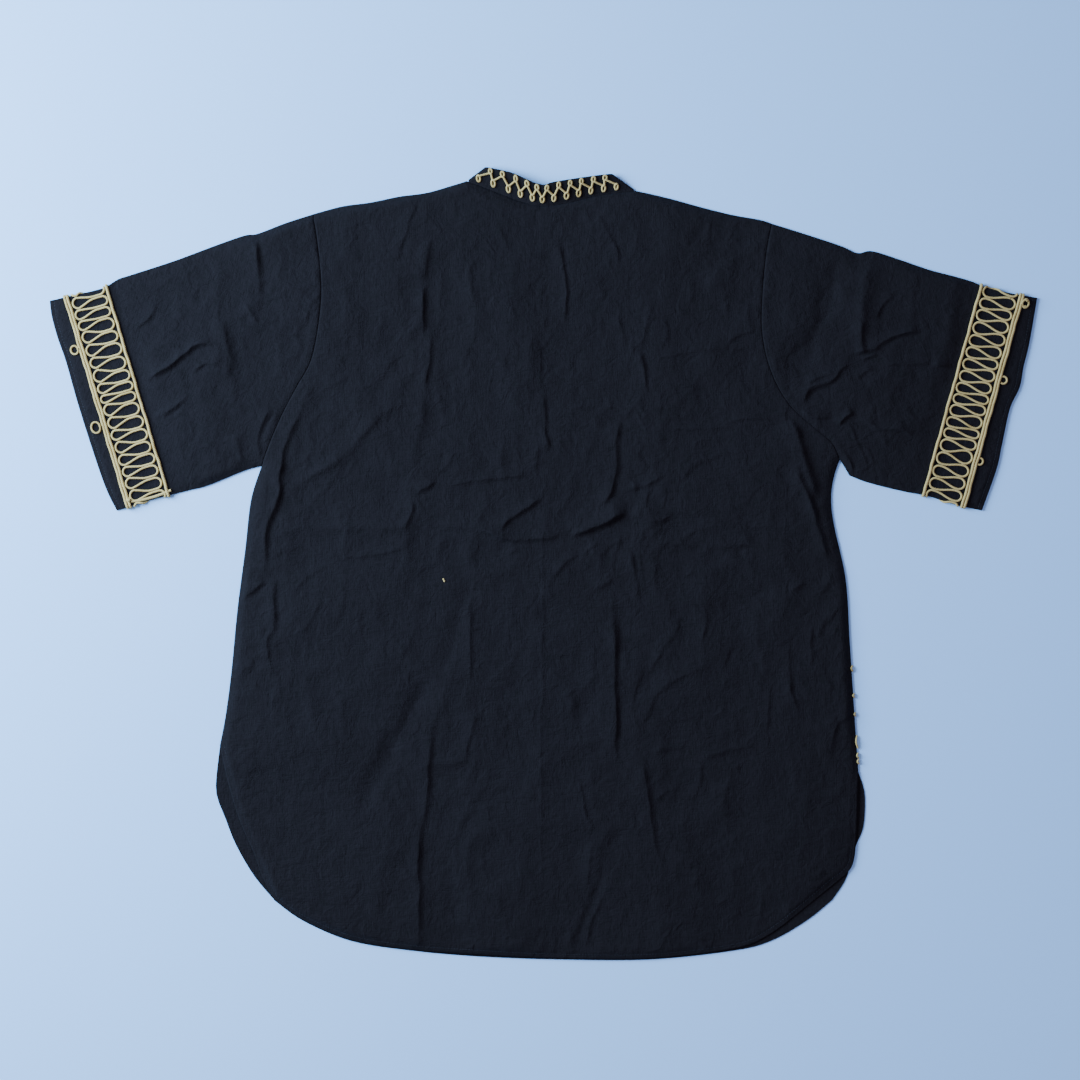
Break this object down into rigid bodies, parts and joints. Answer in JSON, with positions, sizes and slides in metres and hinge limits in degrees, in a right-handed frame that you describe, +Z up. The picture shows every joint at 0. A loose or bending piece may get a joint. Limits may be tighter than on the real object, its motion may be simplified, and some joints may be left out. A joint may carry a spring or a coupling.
{
  "type": "dashiki shirt",
  "caption": "Loose short-sleeved cotton shirt with a stand collar and a rounded shirt-tail hem, laid flat with its back up, cuffs and collar trimmed with couched cream cord.",
  "frame": {"origin": "on the surface the shirt lies on, under the middle of its bounding box", "axes": "+X across the shirt towards the wearer's right sleeve, +Y from hem to neck, +Z up out of the back"},
  "size_m": [1.016, 0.8158, 0.0124],
  "materials": {
    "black_cotton": "plain-woven black cotton, matt with a faint blue sheen",
    "cream_cord": "twisted cream cord, matt, couched down"
  },
  "bodies": {
    "root": {"front": "black_cotton", "back": "black_cotton", "sleeve_left": "black_cotton", "sleeve_right": "black_cotton", "collar": "black_cotton", "cuff_rail_outer_left": "cream_cord", "cuff_rail_outer_right": "cream_cord", "cuff_rail_inner_left": "cream_cord", "cuff_rail_inner_right": "cream_cord", "cuff_meander_left": "cream_cord", "cuff_meander_right": "cream_cord", "cuff_loop_left_1": "cream_cord", "cuff_loop_left_2": "cream_cord", "cuff_loop_right_1": "cream_cord", "cuff_loop_right_2": "cream_cord", "cuff_loop_right_3": "cream_cord", "collar_cord": "cream_cord"}
  },
  "joints": []
}
